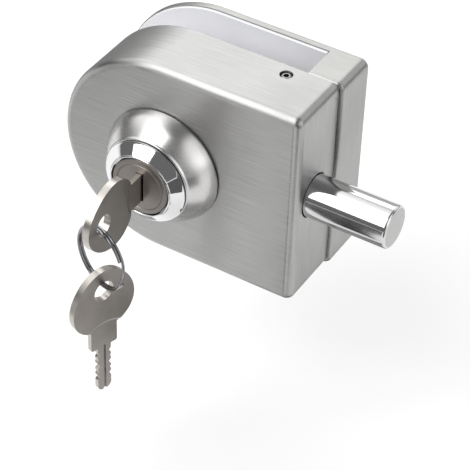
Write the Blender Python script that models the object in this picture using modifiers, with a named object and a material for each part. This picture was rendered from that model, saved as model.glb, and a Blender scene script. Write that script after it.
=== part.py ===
"""Glass door lock: a keyed round bolt in a housing that clamps onto a frameless glass door.

Seen from the key side, +X points along the bolt, +Y into the glass and +Z up. The origin is the
point where the lock cylinder's axis meets the door glass.
"""

from math import acos, cos, pi, radians, sin, sqrt, tan

import bmesh
import bpy

mm = 0.001

# Fits
clearance = 0.3 * mm
running_gap = 0.2 * mm

# Door glass and the pads that grip it
glass_thickness = 10.0 * mm
pad_thickness = 0.7 * mm
pad_margin = 0.6 * mm

# Housing outline: a half circle on the left, a square end where the bolt comes out
housing_height = 60.0 * mm
arc_centre_x = -2.0 * mm
side_x = 40.0 * mm
corner_radius = 2.5 * mm

# Front cover, a deep drawn shell
cover_wall = 1.5 * mm
cover_front_round = 2.0 * mm
cover_back_round = 0.4 * mm

# Rear housing: a plate with a solid web beside the glass
rear_plate_thickness = 2.4 * mm
rear_back_round = 0.9 * mm
rear_front_round = 0.5 * mm
web_width = 10.6 * mm
web_proud = 1.2 * mm
web_groove = 0.6 * mm

# Polished collar around the cylinder
collar_base_radius = 16.9 * mm
collar_rim_radius = 12.6 * mm
collar_height = 8.0 * mm
collar_bulge = 1.1 * mm
collar_lip = 0.5 * mm

# Lock cylinder
bezel_radius = 12.2 * mm
bezel_face_radius = 8.8 * mm
bezel_length = 3.0 * mm
bezel_rim = 0.5 * mm
shell_radius = 8.5 * mm
nut_thickness = 1.3 * mm
nut_across_flats = 22.0 * mm
plug_head_thickness = 2.2 * mm
plug_radius = 6.3 * mm
plug_neck_radius = 4.2 * mm
clip_thickness = 0.7 * mm
clip_width = 2.1 * mm
clip_groove_depth = 1.3 * mm
clip_mouth = radians(80)
clip_shoulder = 0.5 * mm

# Wafers in the plug
wafer_count = 5
wafer_pitch = 2.1 * mm
wafer_thickness = 0.9 * mm
wafer_width = 5.2 * mm
first_wafer_setback = 2.2 * mm

# Drive from the plug to the bolt: one turn of the key throws the whole bolt
gear_module = 0.6 * mm
pinion_teeth = 13
pressure_angle = radians(25)
addendum_share = 0.9
dedendum_share = 1.2
backlash = 0.24 * mm
pinion_width = 3.8 * mm
tail_radius = 2.2 * mm
tail_flat = 1.7 * mm
journal_radius = 1.9 * mm
tail_clip_thickness = 0.6 * mm
tail_clip_width = 1.5 * mm
rack_width = 3.6 * mm
rack_back_height = 1.95 * mm
rack_left_x = -4.6 * mm

# Bolt
bolt_radius = 6.0 * mm
bolt_height = 1.0 * mm
bolt_reach = 23.8 * mm
bolt_end_round = 0.9 * mm
bolt_inner_x = 31.0 * mm
bolt_inner_chamfer = 2.0 * mm
rack_tang = 8.0 * mm
rack_tang_drop = 3.0 * mm
rack_pin_radius = 1.25 * mm
rack_pin_length = 10.8 * mm
bushing_wall = 0.8 * mm
bushing_length = 7.0 * mm
bushing_flange = 0.8 * mm
bushing_flange_radius = 8.2 * mm

# Lock body inside the cover
base_plate_thickness = 3.3 * mm
saddle_half_height = 9.2 * mm
saddle_rise = 2.0 * mm
rail_left_x = -27.0 * mm
rail_right_x = 5.0 * mm
rail_thickness = 2.5 * mm
rail_shelf = 2.1 * mm
boss_width = 8.0 * mm
boss_height = 6.0 * mm

# Screws
clamp_screw_radius = 2.0 * mm
clamp_screw_inset = 10.0 * mm
clamp_screw_x = 34.4 * mm
clamp_screw_bite = 9.0 * mm
screw_head_radius = 3.5 * mm
screw_head_height = 3.0 * mm
cover_screw_radius = 1.5 * mm
cover_screw_length = 5.0 * mm
cover_screw_x = 26.5 * mm
cover_screw_inset = 3.2 * mm
cover_screw_sunk = 0.3 * mm

# Keys
key_thickness = 2.0 * mm
key_relief = 0.2 * mm
bow_width = 19.8 * mm
bow_length = 20.6 * mm
bow_egg = 0.15
bow_hole_radius = 3.1 * mm
bow_hole_from_end = 6.8 * mm
shoulder_width = 8.6 * mm
shoulder_end = 19.8 * mm
blade_width = 4.4 * mm
blade_nose = 4.9 * mm
blade_groove_width = 0.9 * mm
blade_groove_depth = 0.4 * mm
key_cut_depths = (0.5 * mm, 0.2 * mm, 0.6 * mm, 0.3 * mm, 0.5 * mm)
key_cut_flat = 0.7 * mm

# Split ring, two turns of wire
ring_radius = 9.0 * mm
ring_wire = 0.8 * mm
ring_pitch = 0.86 * mm
ring_crossover = 0.07
ring_hang = 2.1 * mm
ring_heading = radians(-18)

# Places that follow from the sizes
cover_back_y = -(pad_thickness + clearance)
rear_inner_y = glass_thickness + pad_thickness + clearance
rear_back_y = rear_inner_y + rear_plate_thickness
rear_side_x = side_x + web_proud
web_left_x = rear_side_x - web_width
web_front_y = cover_back_y + web_groove

body_front_y = cover_back_y - base_plate_thickness
bolt_axis_y = body_front_y - clearance - bolt_radius
bolt_outer_x = side_x + bolt_reach
clamp_screw_z = housing_height / 2 - clamp_screw_inset

shell_back_y = bolt_axis_y - bolt_radius - clearance
nut_front_y = shell_back_y - nut_thickness
cover_inner_y = nut_front_y - clearance
cover_front_y = cover_inner_y - cover_wall
cover_depth = cover_back_y - cover_front_y

collar_back_y = cover_front_y - clearance
collar_front_y = collar_back_y - collar_height
bezel_back_y = collar_front_y - clearance
bezel_front_y = bezel_back_y - bezel_length
plug_head_back_y = bezel_front_y + plug_head_thickness
clip_front_y = shell_back_y + clearance
clip_back_y = clip_front_y + clip_thickness
plug_body_back_y = clip_back_y + clearance / 2 + clip_shoulder

pinion_front_y = bolt_axis_y - pinion_width / 2
pinion_back_y = bolt_axis_y + pinion_width / 2
pitch_radius = gear_module * pinion_teeth / 2
rack_bottom_z = pitch_radius + gear_module * dedendum_share
rack_top_z = rack_bottom_z + rack_back_height
rack_pin_x = bolt_inner_x + rack_tang / 2
tang_bottom_z = bolt_height - rack_tang_drop

body_margin = cover_wall + clearance
bushing_radius = bolt_radius + running_gap + bushing_wall
bushing_right_x = side_x - cover_wall - clearance
bushing_left_x = bushing_right_x - bushing_length
saddle_left_x = bushing_left_x + bushing_flange + clearance
cover_screw_y = cover_back_y - cover_screw_inset

shoulder_y = plug_head_back_y - clearance
first_wafer_y = plug_head_back_y + first_wafer_setback
last_wafer_y = first_wafer_y + (wafer_count - 1) * wafer_pitch
key_one_hole_y = shoulder_y - shoulder_end
key_tip = last_wafer_y + blade_nose - key_one_hole_y
key_tip_y = key_one_hole_y + key_tip
ring_centre_z = -(ring_hang + ring_radius)
key_two_hole_z = ring_centre_z - ring_radius - ring_hang


for leftover in list(bpy.data.objects):
    bpy.data.objects.remove(leftover, do_unlink=True)

parts = bpy.data.collections.new("glass_door_lock")
guides = bpy.data.collections.new("cutters")
bpy.context.scene.collection.children.link(parts)
bpy.context.scene.collection.children.link(guides)

facing = {"X": (0, pi / 2, 0), "Y": (pi / 2, 0, 0), "Z": (0, 0, 0)}


def finish(name, colour, roughness, metallic):
    mat = bpy.data.materials.new(name)
    mat.use_nodes = True
    shader = mat.node_tree.nodes["Principled BSDF"]
    shader.inputs["Base Color"].default_value = (*colour, 1)
    shader.inputs["Roughness"].default_value = roughness
    shader.inputs["Metallic"].default_value = metallic
    return mat


def arc(centre, radius, start, end, steps):
    """Points of a circular arc, both ends included."""
    turn = (end - start) / steps
    return [(centre[0] + radius * cos(start + turn * i), centre[1] + radius * sin(start + turn * i))
            for i in range(steps + 1)]


def circle(centre, radius, steps=32):
    return arc(centre, radius, 0, 2 * pi, steps)[:-1]


def housing_outline(inset, right):
    """The half-round outline, drawn in by inset, with its square end at right."""
    reach = housing_height / 2 - inset
    corner = max(corner_radius - inset, clearance)
    end = right - inset
    outline = arc((end - corner, reach - corner), corner, 0, pi / 2, 5)
    outline += arc((arc_centre_x, 0), reach, pi / 2, 3 * pi / 2, 48)
    outline += arc((end - corner, corner - reach), corner, 3 * pi / 2, 2 * pi, 5)
    return outline


def show_in(obj, group, mat=None):
    for holder in list(obj.users_collection):
        holder.objects.unlink(obj)
    group.objects.link(obj)
    if group is guides:
        obj.hide_render = True
        obj.display_type = "WIRE"
    if mat:
        obj.data.materials.clear()
        obj.data.materials.append(mat)
    return obj


def smooth(obj):
    obj.data.shade_smooth()
    obj.data.set_sharp_from_angle(angle=radians(32))
    return obj


def flat(name, outlines, near, far, group=parts, mat=None, along="Y"):
    """Extrudes closed outlines from near to far along an axis. Inner outlines become holes."""
    drawing = bpy.data.curves.new(name, "CURVE")
    drawing.dimensions = "2D"
    drawing.fill_mode = "BOTH"
    drawing.extrude = abs(far - near) / 2
    for outline in outlines:
        spline = drawing.splines.new("POLY")
        spline.points.add(len(outline) - 1)
        for point, (u, v) in zip(spline.points, outline):
            point.co = (u, v, 0, 1)
        spline.use_cyclic_u = True
    source = bpy.data.objects.new(name + "_drawing", drawing)
    bpy.context.scene.collection.objects.link(source)
    bpy.context.view_layer.update()
    mesh = bpy.data.meshes.new_from_object(source.evaluated_get(bpy.context.evaluated_depsgraph_get()))
    bpy.data.objects.remove(source)
    bpy.data.curves.remove(drawing)
    mesh.name = name
    shape = bmesh.new()
    shape.from_mesh(mesh)
    bmesh.ops.remove_doubles(shape, verts=shape.verts, dist=1e-6)
    bmesh.ops.recalc_face_normals(shape, faces=shape.faces)
    shape.to_mesh(mesh)
    shape.free()
    obj = bpy.data.objects.new(name, mesh)
    middle = (near + far) / 2
    obj.rotation_euler = facing[along]
    obj.location = {"X": (middle, 0, 0), "Y": (0, middle, 0), "Z": (0, 0, middle)}[along]
    group.objects.link(obj)
    return smooth(show_in(obj, group, mat))


def turned(name, profile, along="Y", at=(0, 0, 0), steps=48, closed=False, group=parts, mat=None):
    """Revolves (radius, place) points about an axis. They run front to back along Y,
    and from the high end down along X and Z."""
    sign = -1 if along == "Y" else 1
    mesh = bpy.data.meshes.new(name)
    count = len(profile)
    edges = [(i, i + 1) for i in range(count - 1)]
    if closed:
        edges.append((count - 1, 0))
    mesh.from_pydata([(radius, 0, sign * place) for radius, place in profile], edges, [])
    obj = bpy.data.objects.new(name, mesh)
    obj.rotation_euler = facing[along]
    obj.location = at
    group.objects.link(obj)
    lathe = obj.modifiers.new("lathe", "SCREW")
    lathe.axis = "Z"
    lathe.steps = lathe.render_steps = steps
    lathe.use_merge_vertices = True
    lathe.merge_threshold = 1e-6
    lathe.use_smooth_shade = True
    return show_in(obj, group, mat)


def block(name, low, high, group=guides, mat=None):
    """A box between two corners."""
    size = [b - a for a, b in zip(low, high)]
    bpy.ops.mesh.primitive_cube_add(size=1, location=[(a + b) / 2 for a, b in zip(low, high)])
    obj = bpy.context.active_object
    obj.name = name
    obj.scale = size
    bpy.ops.object.transform_apply(location=False, rotation=False, scale=True)
    return show_in(obj, group, mat)


def rod(name, radius, near, far, along, at=(0, 0, 0), steps=32, group=guides, mat=None):
    """A plain cylinder from near to far along an axis."""
    low, high = sorted((near, far))
    ends = [(0, low), (radius, low), (radius, high), (0, high)]
    if along != "Y":
        ends.reverse()
    return turned(name, ends, along, at, steps, group=group, mat=mat)


def combine(target, operation, others):
    for other in others:
        modifier = target.modifiers.new(operation.lower() + "_" + other.name, "BOOLEAN")
        modifier.operation = operation
        modifier.solver = "EXACT"
        modifier.object = other


def cut(target, *cutters):
    combine(target, "DIFFERENCE", cutters)


def join(target, *others):
    combine(target, "UNION", others)


def round_rim(obj, local_z, amount, segments):
    """Rounds the outline's edges that lie at one local height."""
    shape = bmesh.new()
    shape.from_mesh(obj.data)
    rim = [edge for edge in shape.edges
           if all(abs(vert.co.z - local_z) < 1e-6 for vert in edge.verts)
           and any(abs(face.normal.z) < 0.5 for face in edge.link_faces)]
    bmesh.ops.bevel(shape, geom=rim, offset=amount, segments=segments, profile=0.5, affect="EDGES",
                    clamp_overlap=True)
    shape.to_mesh(obj.data)
    shape.free()
    smooth(obj)


def make_front_cover(steel):
    cover = flat("front_cover", [housing_outline(0, side_x)], cover_front_y, cover_back_y, mat=steel)
    round_rim(cover, cover_depth / 2, cover_front_round, 3)
    round_rim(cover, -cover_depth / 2, cover_back_round, 2)
    cavity_back_y = cover_back_y + cover_wall
    cavity = flat("cover_cavity", [housing_outline(cover_wall, side_x)], cover_inner_y, cavity_back_y, guides)
    round_rim(cavity, (cavity_back_y - cover_inner_y) / 2, max(cover_front_round - cover_wall, clearance), 2)
    cylinder_hole = rod("cover_cylinder_hole", shell_radius + clearance, cover_front_y - cover_wall,
                        cover_inner_y + cover_wall, "Y", steps=48)
    bolt_hole = rod("cover_bolt_hole", bolt_radius + clearance, side_x - 2 * cover_wall, side_x + cover_wall,
                    "X", (0, bolt_axis_y, bolt_height), steps=48)
    screw_holes = rod("cover_screw_holes", cover_screw_radius + clearance, -housing_height, housing_height,
                      "Z", (cover_screw_x, cover_screw_y, 0), steps=24)
    cut(cover, cavity, cylinder_hole, bolt_hole, screw_holes)
    return cover


def make_rear_housing(steel):
    depth = rear_back_y - web_front_y
    rear = flat("rear_housing", [housing_outline(0, rear_side_x)], web_front_y, rear_back_y, mat=steel)
    round_rim(rear, -depth / 2, rear_back_round, 3)
    round_rim(rear, depth / 2, rear_front_round, 2)
    slot = block("glass_slot", (-housing_height, web_front_y - web_width, -housing_height),
                 (web_left_x, rear_inner_y, housing_height))
    cut(rear, slot)
    for side, z in (("upper", clamp_screw_z), ("lower", -clamp_screw_z)):
        hole = rod("web_hole_" + side, clamp_screw_radius + clearance, web_front_y - clearance,
                   clamp_screw_bite + clearance, "Y", (clamp_screw_x, 0, z), steps=24)
        cut(rear, hole)
    return rear


def make_pad(name, near, far, rubber):
    outline = housing_outline(pad_margin, web_left_x - clearance + pad_margin)
    return flat(name, [outline], near, far, mat=rubber)


def make_collar(chrome):
    """A bell-shaped trim ring, slightly bulged between its base and its rim."""
    bore = shell_radius + clearance
    flank = []
    steps = 8
    for i in range(steps + 1):
        share = i / steps
        bulge = collar_bulge * sin(pi * share)
        flank.append((collar_rim_radius + (collar_base_radius - collar_rim_radius) * share + bulge,
                      collar_front_y + collar_lip + (collar_height - 2 * collar_lip) * share))
    profile = [(bore, collar_front_y), (collar_rim_radius - collar_lip, collar_front_y)]
    profile += flank
    profile += [(collar_base_radius, collar_back_y), (bore, collar_back_y)]
    return turned("cylinder_collar", profile, closed=True, mat=chrome)


def make_cylinder_shell(chrome):
    head_bore = bezel_face_radius
    bore = plug_radius + clearance
    head_floor_y = plug_head_back_y + clearance
    profile = [(head_bore, bezel_front_y), (bezel_radius - bezel_rim, bezel_back_y - bezel_rim * 1.6),
               (bezel_radius, bezel_back_y - bezel_rim), (bezel_radius, bezel_back_y),
               (shell_radius, bezel_back_y), (shell_radius, shell_back_y), (bore, shell_back_y),
               (bore, head_floor_y), (head_bore, head_floor_y)]
    return turned("cylinder_shell", profile, closed=True, mat=chrome)


def make_cylinder_nut(brass):
    corner = nut_across_flats / 2 / cos(pi / 6)
    hexagon = circle((0, 0), corner, 6)
    bore = circle((0, 0), shell_radius + clearance, 40)
    return flat("cylinder_nut", [hexagon, bore], nut_front_y, shell_back_y, mat=brass)


def wafer_y(index):
    return first_wafer_y + index * wafer_pitch


def make_plug(brass):
    groove_radius = plug_radius - clip_groove_depth
    head_radius = bezel_face_radius - clearance
    tail_clip_y = pinion_back_y + clearance
    tail_groove_back_y = tail_clip_y + tail_clip_thickness + clearance / 2
    tail_groove_radius = journal_radius - clearance
    end_y = cover_back_y - clearance
    profile = [(0, bezel_front_y), (head_radius - clearance, bezel_front_y),
               (head_radius, bezel_front_y + clearance), (head_radius, plug_head_back_y),
               (plug_radius, plug_head_back_y), (plug_radius, clip_front_y - clearance / 2),
               (groove_radius, clip_front_y - clearance / 2), (groove_radius, clip_back_y + clearance / 2),
               (plug_radius, clip_back_y + clearance / 2), (plug_radius, plug_body_back_y),
               (plug_neck_radius, plug_body_back_y), (plug_neck_radius, pinion_front_y - clearance),
               (tail_radius, pinion_front_y - clearance), (tail_radius, pinion_back_y),
               (journal_radius, pinion_back_y), (journal_radius, tail_clip_y - clearance / 2),
               (tail_groove_radius, tail_clip_y - clearance / 2), (tail_groove_radius, tail_groove_back_y),
               (journal_radius, tail_groove_back_y), (journal_radius, end_y), (0, end_y)]
    plug = turned("cylinder_plug", profile, steps=40, mat=brass)
    half_slot = key_thickness / 2 + clearance
    keyway = block("keyway", (-half_slot, bezel_front_y - clearance, -blade_width / 2 - clearance),
                   (half_slot, key_tip_y + clearance, blade_width / 2 + clearance))
    mouth = block("keyway_mouth", (-half_slot, bezel_front_y - clearance, -shoulder_width / 2 - clearance),
                  (half_slot, shoulder_y + clearance, shoulder_width / 2 + clearance))
    cut(plug, keyway, mouth)
    half_width = wafer_width / 2 + running_gap
    for i in range(wafer_count):
        slot = block(f"wafer_slot_{i + 1}",
                     (-half_width, wafer_y(i) - wafer_thickness / 2 - running_gap, -plug_radius * 1.2),
                     (half_width, wafer_y(i) + wafer_thickness / 2 + running_gap, plug_radius * 1.2))
        cut(plug, slot)
    for side in (-1, 1):
        inner = side * tail_flat
        outer = side * tail_radius * 1.5
        relief = block(f"tail_flat_{'left' if side < 0 else 'right'}",
                       (min(inner, outer), pinion_front_y - clearance, -tail_radius * 1.5),
                       (max(inner, outer), pinion_back_y, tail_radius * 1.5))
        cut(plug, relief)
    return plug


def make_wafer(index, brass):
    """A flat tumbler with a round top and bottom and a window for the blade."""
    reach = plug_radius - running_gap
    half = wafer_width / 2
    swing = acos(half / reach)
    outline = arc((0, 0), reach, swing, pi - swing, 8) + arc((0, 0), reach, pi + swing, 2 * pi - swing, 8)
    window_x = key_thickness / 2 + clearance
    window_z = blade_width / 2 + clearance
    window = [(window_x, window_z), (-window_x, window_z), (-window_x, -window_z), (window_x, -window_z)]
    near = wafer_y(index) - wafer_thickness / 2
    return flat(f"plug_wafer_{index + 1}", [outline, window], near, near + wafer_thickness, mat=brass)


def make_clip(name, inner, outer, near, far, mouth, steel):
    """A retaining ring with an open mouth that faces down."""
    start = -pi / 2 + mouth / 2
    end = 3 * pi / 2 - mouth / 2
    outline = arc((0, 0), outer, start, end, 36) + arc((0, 0), inner, end, start, 36)
    return flat(name, [outline], near, far, mat=steel)


def involute_angle(radius, base):
    """The angle that an involute has turned through where it reaches a radius."""
    slant = acos(base / radius)
    return tan(slant) - slant


def make_pinion(steel):
    """An involute spur gear with one tooth pointing up, on a bore with two flats."""
    base = pitch_radius * cos(pressure_angle)
    tip = pitch_radius + gear_module * addendum_share
    root = pitch_radius - gear_module * dedendum_share
    tooth_width = gear_module * pi / 2 - backlash / 2
    half_at_base = tooth_width / 2 / pitch_radius + involute_angle(pitch_radius, base)
    flank_steps = 4
    flank = [base + (tip - base) * i / flank_steps for i in range(flank_steps + 1)]
    outline = []
    for tooth in range(pinion_teeth):
        middle = pi / 2 + tooth * 2 * pi / pinion_teeth
        rising = [(radius, middle - half_at_base + involute_angle(radius, base)) for radius in flank]
        falling = [(radius, 2 * middle - angle) for radius, angle in reversed(rising)]
        points = [(root, rising[0][1])] + rising + falling + [(root, falling[-1][1])]
        outline += [(radius * cos(angle), radius * sin(angle)) for radius, angle in points]
    bore = tail_radius + clearance / 2
    flat_x = tail_flat + clearance / 2
    swing = acos(flat_x / bore)
    hole = arc((0, 0), bore, swing, pi - swing, 8) + arc((0, 0), bore, pi + swing, 2 * pi - swing, 8)
    return flat("drive_pinion", [outline, hole], pinion_front_y, pinion_back_y, mat=steel)


def make_rack(steel):
    """A straight rack whose teeth point down at the pinion, with a deep tang seated in the bolt."""
    pitch = gear_module * pi
    tip_z = pitch_radius - gear_module * addendum_share
    half_pitch_line = (pitch / 2 - backlash / 2) / 2
    half_root = half_pitch_line + (rack_bottom_z - pitch_radius) * tan(pressure_angle)
    half_tip = half_pitch_line - (pitch_radius - tip_z) * tan(pressure_angle)
    right = bolt_inner_x + rack_tang
    outline = [(rack_left_x, rack_top_z), (rack_left_x, rack_bottom_z)]
    x = (int(rack_left_x / pitch) + 0.5) * pitch
    while x - half_root < rack_left_x:
        x += pitch
    while x + half_root < bolt_inner_x - clearance:
        outline += [(x - half_root, rack_bottom_z), (x - half_tip, tip_z),
                    (x + half_tip, tip_z), (x + half_root, rack_bottom_z)]
        x += pitch
    outline += [(bolt_inner_x, rack_bottom_z), (bolt_inner_x, tang_bottom_z), (right, tang_bottom_z),
                (right, rack_top_z)]
    pin_hole = circle((rack_pin_x, bolt_height), rack_pin_radius + clearance, 24)
    near = bolt_axis_y - rack_width / 2
    return flat("bolt_rack", [outline, pin_hole], near, near + rack_width, mat=steel)


def make_bolt(chrome):
    outer = bolt_outer_x
    inner = bolt_inner_x
    centre = bolt_radius - bolt_end_round
    nose = [(centre + bolt_end_round * sin(pi / 2 * i / 4), outer - bolt_end_round * (1 - cos(pi / 2 * i / 4)))
            for i in range(5)]
    profile = [(0, outer)] + nose + [(bolt_radius, inner + bolt_inner_chamfer),
                                     (bolt_radius - bolt_inner_chamfer, inner), (0, inner)]
    bolt = turned("bolt_rod", profile, "X", (0, bolt_axis_y, bolt_height), 48, mat=chrome)
    half = rack_width / 2 + clearance
    slot = block("rack_slot", (inner - clearance, bolt_axis_y - half, tang_bottom_z - clearance),
                 (inner + rack_tang + clearance, bolt_axis_y + half, bolt_height + bolt_radius * 1.5))
    pin_hole = rod("rack_pin_hole", rack_pin_radius + clearance, bolt_axis_y - bolt_radius * 1.2,
                   bolt_axis_y + bolt_radius * 1.2, "Y", (rack_pin_x, 0, bolt_height), 24)
    cut(bolt, slot, pin_hole)
    return bolt


def make_bushing(brass):
    bore = bolt_radius + running_gap
    profile = [(bore, bushing_right_x), (bushing_radius, bushing_right_x),
               (bushing_radius, bushing_left_x + bushing_flange),
               (bushing_flange_radius, bushing_left_x + bushing_flange),
               (bushing_flange_radius, bushing_left_x), (bore, bushing_left_x)]
    bushing = turned("bolt_bushing", profile, "X", (0, bolt_axis_y, bolt_height), 48, closed=True, mat=brass)
    trim_y = cover_inner_y + clearance
    front_flat = block("bushing_front_flat", (bushing_left_x - 1 * mm, trim_y - 2 * mm, -housing_height / 2),
                       (bushing_right_x + 1 * mm, trim_y, housing_height / 2))
    cut(bushing, front_flat)
    return bushing


def make_lock_body(zinc):
    """The cast base inside the cover: rack rail, bushing saddle and screw bosses on one plate."""
    outline = housing_outline(body_margin, side_x)
    screw_hole = clamp_screw_radius + clearance
    holes = [circle((0, 0), journal_radius + clearance, 24),
             circle((clamp_screw_x, clamp_screw_z), screw_hole, 24),
             circle((clamp_screw_x, -clamp_screw_z), screw_hole, 24)]
    body = flat("lock_body", [outline] + holes, body_front_y, cover_back_y, mat=zinc)

    rail_bottom_z = rack_top_z + 2 * running_gap
    rail_front_y = bolt_axis_y - rack_width / 2
    shelf_front_y = bolt_axis_y + rack_width / 2 + clearance
    root_y = body_front_y + clearance
    rail = block("rack_rail", (rail_left_x, rail_front_y, rail_bottom_z),
                 (rail_right_x, root_y, rail_bottom_z + rail_thickness))
    shelf = block("rack_shelf", (rail_left_x, shelf_front_y, rail_bottom_z - rail_shelf),
                  (rail_right_x, root_y, rail_bottom_z + rail_thickness / 2))
    saddle = block("bushing_saddle",
                   (saddle_left_x, bolt_axis_y - saddle_rise, bolt_height - saddle_half_height),
                   (side_x - body_margin, root_y, bolt_height + saddle_half_height))
    join(body, rail, shelf, saddle)
    for side in (-1, 1):
        wall = side * (housing_height / 2 - body_margin - clearance)
        foot = wall - side * boss_height
        boss = block("upper_boss" if side > 0 else "lower_boss",
                     (cover_screw_x - boss_width / 2, cover_screw_y - boss_width / 2, min(wall, foot)),
                     (cover_screw_x + boss_width / 2, root_y, max(wall, foot)))
        join(body, boss)
    bore = rod("saddle_bore", bushing_radius + clearance, saddle_left_x - 1 * mm, side_x, "X",
               (0, bolt_axis_y, bolt_height), 48)
    screw_floor = housing_height / 2 - cover_screw_sunk - cover_screw_length - clearance
    upper = rod("upper_screw_bore", cover_screw_radius + clearance, screw_floor, housing_height / 2, "Z",
                (cover_screw_x, cover_screw_y, 0), 24)
    lower = rod("lower_screw_bore", cover_screw_radius + clearance, -housing_height / 2, -screw_floor, "Z",
                (cover_screw_x, cover_screw_y, 0), 24)
    flange_seat = rod("flange_seat", bushing_flange_radius + clearance, bushing_left_x - clearance, saddle_left_x,
                      "X", (0, bolt_axis_y, bolt_height), 48)
    cut(body, bore, flange_seat, upper, lower)
    return body


def make_clamp_screw(name, z, steel):
    """A socket cap screw that pulls the web towards the lock body."""
    head_back_y = body_front_y - clearance
    head_front_y = head_back_y - screw_head_height
    profile = [(0, head_front_y), (screw_head_radius - clearance, head_front_y),
               (screw_head_radius, head_front_y + clearance), (screw_head_radius, head_back_y),
               (clamp_screw_radius, head_back_y), (clamp_screw_radius, clamp_screw_bite - clearance),
               (0, clamp_screw_bite - clearance)]
    screw = turned(name, profile, "Y", (clamp_screw_x, 0, z), 32, mat=steel)
    socket = flat(name + "_socket", [circle((clamp_screw_x, z), clamp_screw_radius * 0.85, 6)],
                  head_front_y - clearance, head_front_y + screw_head_height / 2, guides)
    cut(screw, socket)
    return screw


def make_cover_screw(name, side, steel):
    """A headless socket screw, just below the cover's surface."""
    outer = housing_height / 2 - cover_screw_sunk
    inner = outer - cover_screw_length
    ends = sorted((side * outer, side * inner))
    edge = clearance
    profile = [(0, ends[1]), (cover_screw_radius - edge, ends[1]), (cover_screw_radius, ends[1] - edge),
               (cover_screw_radius, ends[0] + edge), (cover_screw_radius - edge, ends[0]), (0, ends[0])]
    screw = turned(name, profile, "Z", (cover_screw_x, cover_screw_y, 0), 24, mat=steel)
    depth = cover_screw_length / 2
    socket_z = sorted((side * (outer + clearance), side * (outer - depth)))
    socket = flat(name + "_socket", [circle((cover_screw_x, cover_screw_y), cover_screw_radius * 0.55, 6)],
                  socket_z[0], socket_z[1], guides, along="Z")
    cut(screw, socket)
    return screw


def bow_half_width(place):
    """Half the egg-shaped bow's width, at a distance from the hole towards the blade."""
    share = (place - (bow_length / 2 - bow_hole_from_end)) / (bow_length / 2)
    share = max(-1, min(1, share))
    return bow_width / 2 * sqrt(1 - share * share) * (1 + bow_egg * share)


def blade_edge():
    """Half of the blade's cut edge, from the shoulder to the tip."""
    half = blade_width / 2
    edge = [(half, shoulder_end)]
    for i in range(wafer_count):
        depth = key_cut_depths[i % len(key_cut_depths)]
        middle = wafer_y(i) - key_one_hole_y
        edge += [(half, middle - key_cut_flat / 2 - depth), (half - depth, middle - key_cut_flat / 2),
                 (half - depth, middle + key_cut_flat / 2), (half, middle + key_cut_flat / 2 + depth)]
    edge += [(half, key_tip - half * 0.7), (half * 0.75, key_tip - half * 0.25), (half * 0.35, key_tip)]
    return edge


def make_key(name, location, rotation, nickel):
    """A key drawn in its own plane, with its origin at the centre of the bow's hole."""
    steps = 22
    shoulder = shoulder_width / 2
    bow = []
    for i in range(steps + 1):
        place = -bow_hole_from_end + bow_length * (1 - cos(pi * i / steps)) / 2
        half = bow_half_width(place)
        if i > steps / 2 and half < shoulder:
            break
        bow.append((half, place))
    right = bow + [(shoulder, bow[-1][1] + clearance), (shoulder, shoulder_end - clearance),
                   (shoulder - clearance, shoulder_end)] + blade_edge()
    left = [(-x, place) for x, place in reversed(right[1:])]
    hole = circle((0, 0), bow_hole_radius, 28)
    key = flat(name, [right + left, hole], -key_thickness / 2, key_thickness / 2, mat=nickel, along="Z")
    step_place = bow[-1][1] - key_relief
    far = key_tip + clearance
    sweep = arc((0, step_place + shoulder_width), shoulder_width * 1.12, -pi * 0.82, -pi * 0.18, 10)
    relief_outline = [(shoulder_width, far), (-shoulder_width, far)] + sweep
    face = key_thickness / 2
    upper = flat(name + "_upper_relief", [relief_outline], face - key_relief, face + clearance, guides, along="Z")
    lower = flat(name + "_lower_relief", [relief_outline], -face - clearance, key_relief - face, guides, along="Z")
    groove = block(name + "_groove",
                   (-blade_groove_width / 2, shoulder_end - clearance, face - key_relief - blade_groove_depth),
                   (blade_groove_width / 2, far, face + clearance))
    for obj in (upper, lower, groove):
        place_like(obj, location, rotation)
    place_like(key, location, rotation)
    cut(key, upper, lower, groove)
    return key


def place_like(obj, location, rotation):
    """Moves the shape into its mesh and then sets where the object stands."""
    obj.data.transform(obj.matrix_basis)
    obj.location = location
    obj.rotation_euler = rotation


def make_key_ring(steel):
    """A split ring: two flat turns of wire joined by a crossover, hung in the first key's hole."""
    count = 66
    wire = bpy.data.curves.new("key_ring", "CURVE")
    wire.dimensions = "3D"
    wire.bevel_depth = ring_wire / 2
    wire.bevel_resolution = 2
    wire.use_fill_caps = True
    spline = wire.splines.new("POLY")
    spline.points.add(count)
    for i, point in enumerate(spline.points):
        turns = ring_crossover + (2 - 2 * ring_crossover) * i / count
        climb = max(0, min(1, (turns - 1) / (2 * ring_crossover) + 0.5))
        point.co = (ring_radius * cos(2 * pi * turns), ring_pitch * (climb - 0.5),
                    ring_radius * sin(2 * pi * turns), 1)
    ring = bpy.data.objects.new("key_ring", wire)
    ring.location = (0, key_one_hole_y, ring_centre_z)
    ring.rotation_euler = (0, 0, ring_heading)
    parts.objects.link(ring)
    wire.materials.append(steel)
    return ring


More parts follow.
